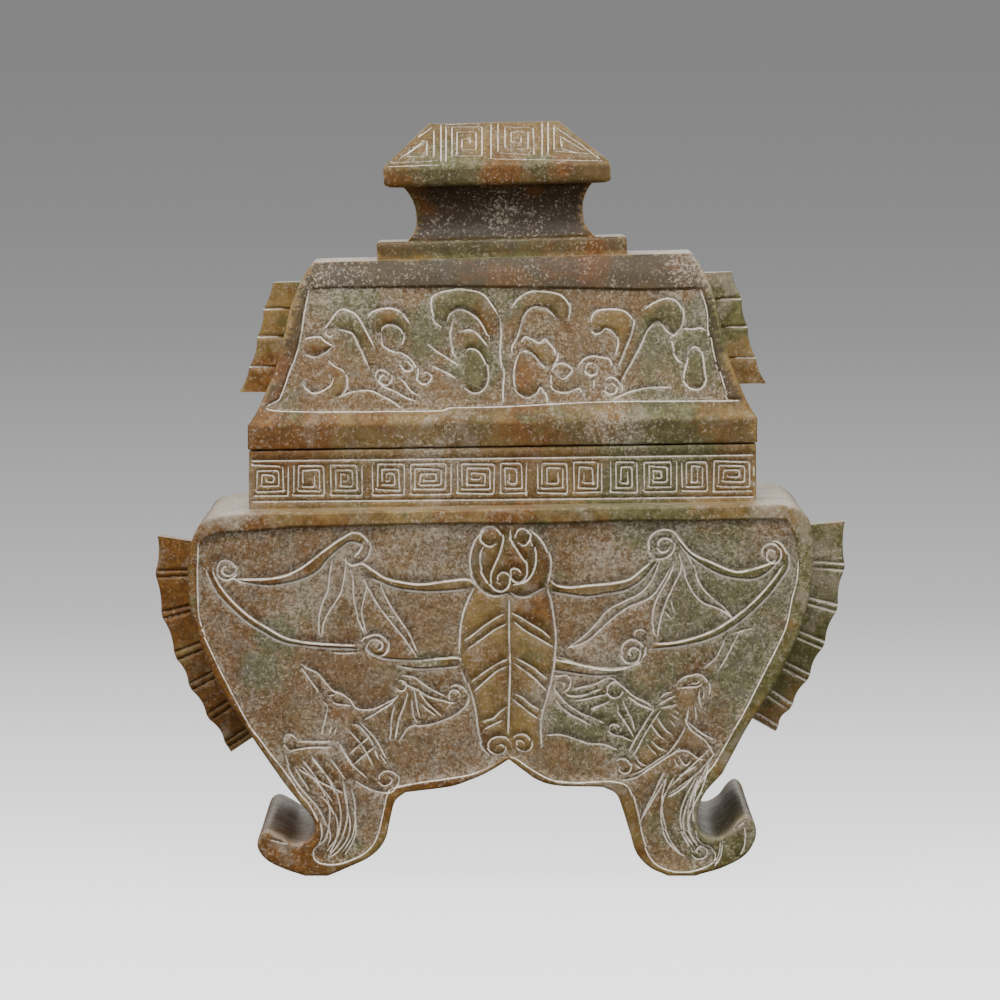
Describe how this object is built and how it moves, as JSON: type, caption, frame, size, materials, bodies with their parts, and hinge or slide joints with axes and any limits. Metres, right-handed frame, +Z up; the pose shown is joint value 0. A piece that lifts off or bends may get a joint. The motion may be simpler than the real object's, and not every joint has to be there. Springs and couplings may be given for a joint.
{
  "type": "lidded urn",
  "caption": "Broad-shouldered carved jade urn on slab legs with curled toes, with a lift-off roof-shaped lid and a hip-roofed knob.",
  "frame": {"origin": "middle of the box on the plane that the feet stand on", "axes": "+X to the right of the carved front, -Y towards the front, +Z up"},
  "size_m": [0.2805, 0.128, 0.3],
  "materials": {
    "mottled_jade": "polished on the proud borders and edges, matt and chalky in the sunk grounds"
  },
  "bodies": {
    "root": {"urn_body": "mottled_jade", "urn_lid": "mottled_jade"}
  },
  "joints": []
}
